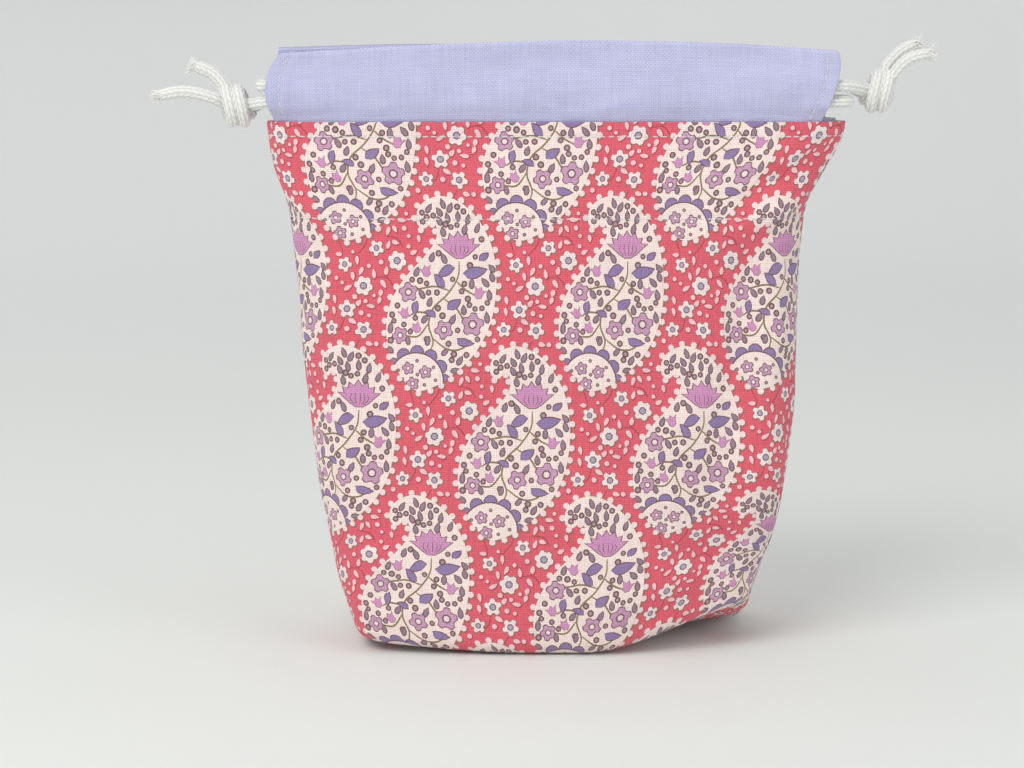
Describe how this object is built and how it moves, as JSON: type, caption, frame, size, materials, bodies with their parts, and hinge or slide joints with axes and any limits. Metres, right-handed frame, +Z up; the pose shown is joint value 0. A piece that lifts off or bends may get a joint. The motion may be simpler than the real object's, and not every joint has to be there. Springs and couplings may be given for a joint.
{
  "type": "drawstring dice bag",
  "caption": "Lined cotton drawstring pouch with a boxed flat bottom, two raised casings at the mouth and two opposed draw cords with knotted, frayed ends.",
  "frame": {"origin": "centre of the base, on the surface that the bag stands on", "axes": "+Z up, +X towards the bag's right as seen from the front, +Y from the front face towards the back face"},
  "size_m": [0.214, 0.06, 0.1691],
  "materials": {
    "printed_cotton": "matte plain-weave printed cotton",
    "lavender_cotton": "matte plain-weave cotton",
    "seam_allowance": "matte unprinted side of the cotton",
    "white_thread": "soft-sheen twisted polyester thread",
    "white_cord": "soft-sheen braided polyester cord"
  },
  "bodies": {
    "bag": {"outer_front_panel": "printed_cotton", "outer_back_panel": "printed_cotton", "lining_front_panel": "lavender_cotton", "lining_back_panel": "lavender_cotton", "casing_front": "lavender_cotton", "casing_back": "lavender_cotton", "upper_topstitch": "white_thread", "lower_topstitch": "white_thread", "hem_stitch_front_left": "white_thread", "hem_stitch_front_right": "white_thread", "hem_stitch_back_left": "white_thread", "hem_stitch_back_right": "white_thread", "side_seam_left": "seam_allowance", "side_seam_right": "seam_allowance", "base_seam": "seam_allowance", "box_corner_seam_left": "seam_allowance", "box_corner_seam_right": "seam_allowance", "left_cord_bight": "white_cord", "right_cord_bight": "white_cord"},
    "left_cord": {"left_cord_front_run": "white_cord", "left_cord_back_run": "white_cord"},
    "left_knot": {"left_knot": "white_cord", "left_tail_upper": "white_cord", "left_tail_lower": "white_cord"},
    "right_cord": {"right_cord_front_run": "white_cord", "right_cord_back_run": "white_cord"},
    "right_knot": {"right_knot": "white_cord", "right_tail_front": "white_cord", "right_tail_back": "white_cord"}
  },
  "joints": [
    {"name": "left_cord_pull", "type": "slide", "parent": "bag", "child": "left_cord", "axis": [-1, 0, 0], "range_m": [0, 0.056]},
    {"name": "left_knot_turn", "type": "hinge", "parent": "left_cord", "child": "left_knot", "pos_m": [-0.0878, 0, 0.1505], "axis": [1, 0, 0], "range_deg": [-90, 90]},
    {"name": "right_cord_pull", "type": "slide", "parent": "bag", "child": "right_cord", "axis": [1, 0, 0], "range_m": [0, 0.056]},
    {"name": "right_knot_turn", "type": "hinge", "parent": "right_cord", "child": "right_knot", "pos_m": [0.0894, 0, 0.1545], "axis": [1, 0, 0], "range_deg": [-90, 90]}
  ]
}
